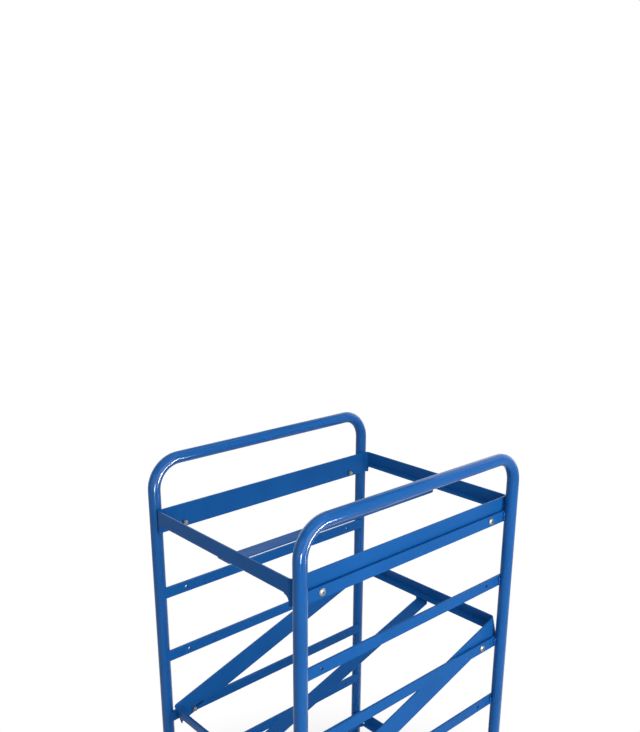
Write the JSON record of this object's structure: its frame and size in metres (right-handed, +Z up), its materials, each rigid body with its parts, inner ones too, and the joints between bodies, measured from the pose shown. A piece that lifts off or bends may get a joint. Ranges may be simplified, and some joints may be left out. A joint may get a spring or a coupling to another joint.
{
  "type": "shelf trolley",
  "caption": "Blue tube trolley on castors: two inverted U bows with flat rungs carry open box shelves, each bolted level or tilted toward the loading side.",
  "frame": {"origin": "on the floor, midway between the two bows and between the legs of each bow", "axes": "+X from the left bow to the right bow, +Y from the loading side to the rear, +Z up"},
  "size_m": [0.5, 0.6468, 1.1999],
  "materials": {
    "blue_coat": "gloss",
    "zinc_steel": "satin",
    "grey_rubber": "matte",
    "wheel_core": "matte",
    "pedal_coat": "satin"
  },
  "bodies": {
    "frame": {"left_bow": "blue_coat", "right_bow": "blue_coat", "left_rung_1": "blue_coat", "right_rung_1": "blue_coat", "left_rung_2": "blue_coat", "right_rung_2": "blue_coat", "left_rung_3": "blue_coat", "right_rung_3": "blue_coat", "left_rung_4": "blue_coat", "right_rung_4": "blue_coat", "left_rung_5": "blue_coat", "right_rung_5": "blue_coat", "left_rung_6": "blue_coat", "right_rung_6": "blue_coat", "base_front_rail": "blue_coat", "base_rear_rail": "blue_coat", "base_left_rail": "blue_coat", "base_right_rail": "blue_coat", "corner_plates": "blue_coat", "shelf_pivot_bolts": "zinc_steel", "shelf_lock_bolts": "zinc_steel", "shelf_spacers": "zinc_steel", "castor_fasteners": "zinc_steel", "front_fixed_bracket": "zinc_steel", "rear_fixed_bracket": "zinc_steel", "fixed_axles": "zinc_steel", "front_swivel_plate": "zinc_steel", "rear_swivel_plate": "zinc_steel", "shelf_3_left_side": "blue_coat", "shelf_3_right_side": "blue_coat", "shelf_3_front_rail": "blue_coat", "shelf_3_back_rail": "blue_coat", "shelf_3_middle_bar": "blue_coat", "shelf_3_lock_nuts": "zinc_steel"},
    "shelf_1": {"shelf_1_left_side": "blue_coat", "shelf_1_right_side": "blue_coat", "shelf_1_front_rail": "blue_coat", "shelf_1_back_rail": "blue_coat", "shelf_1_middle_bar": "blue_coat", "shelf_1_lock_nuts": "zinc_steel"},
    "shelf_2": {"shelf_2_left_side": "blue_coat", "shelf_2_right_side": "blue_coat", "shelf_2_front_rail": "blue_coat", "shelf_2_back_rail": "blue_coat", "shelf_2_middle_bar": "blue_coat", "shelf_2_lock_nuts": "zinc_steel"},
    "front_swivel": {"front_swivel_fork": "zinc_steel", "front_swivel_axle": "zinc_steel"},
    "front_brake": {"front_brake_pedal": "pedal_coat"},
    "front_swivel_wheel": {"front_swivel_hub": "wheel_core", "front_swivel_tyre": "grey_rubber"},
    "front_fixed_wheel": {"front_fixed_hub": "wheel_core", "front_fixed_tyre": "grey_rubber"},
    "rear_swivel": {"rear_swivel_fork": "zinc_steel", "rear_swivel_axle": "zinc_steel"},
    "rear_brake": {"rear_brake_pedal": "pedal_coat"},
    "rear_swivel_wheel": {"rear_swivel_hub": "wheel_core", "rear_swivel_tyre": "grey_rubber"},
    "rear_fixed_wheel": {"rear_fixed_hub": "wheel_core", "rear_fixed_tyre": "grey_rubber"}
  },
  "joints": [
    {"name": "shelf_1_tilt", "type": "hinge", "parent": "frame", "child": "shelf_1", "pos_m": [0, 0.2505, 1.043], "axis": [1, 0, 0], "range_deg": [0, 17.45]},
    {"name": "shelf_2_tilt", "type": "hinge", "parent": "frame", "child": "shelf_2", "pos_m": [0, 0.2505, 0.728], "axis": [1, 0, 0], "range_deg": [-17.45, 0]},
    {"name": "front_swivel_turn", "type": "hinge", "parent": "frame", "child": "front_swivel", "pos_m": [0.13505, -0.22, 0.145], "axis": [0, 0, 1], "continuous": true},
    {"name": "front_swivel_wheel_spin", "type": "hinge", "parent": "front_swivel", "child": "front_swivel_wheel", "pos_m": [0.17305, -0.22, 0.0625], "axis": [0, 1, 0], "continuous": true},
    {"name": "front_brake_press", "type": "hinge", "parent": "front_swivel", "child": "front_brake", "pos_m": [0.2031, -0.22, 0.12694], "axis": [0, 1, 0], "range_deg": [0, 16]},
    {"name": "front_fixed_wheel_spin", "type": "hinge", "parent": "frame", "child": "front_fixed_wheel", "pos_m": [-0.17305, -0.22, 0.0625], "axis": [0, 1, 0], "continuous": true},
    {"name": "rear_swivel_turn", "type": "hinge", "parent": "frame", "child": "rear_swivel", "pos_m": [0.13505, 0.22, 0.145], "axis": [0, 0, 1], "continuous": true},
    {"name": "rear_swivel_wheel_spin", "type": "hinge", "parent": "rear_swivel", "child": "rear_swivel_wheel", "pos_m": [0.17305, 0.22, 0.0625], "axis": [0, 1, 0], "continuous": true},
    {"name": "rear_brake_press", "type": "hinge", "parent": "rear_swivel", "child": "rear_brake", "pos_m": [0.2031, 0.22, 0.12694], "axis": [0, 1, 0], "range_deg": [0, 16]},
    {"name": "rear_fixed_wheel_spin", "type": "hinge", "parent": "frame", "child": "rear_fixed_wheel", "pos_m": [-0.17305, 0.22, 0.0625], "axis": [0, 1, 0], "continuous": true}
  ]
}
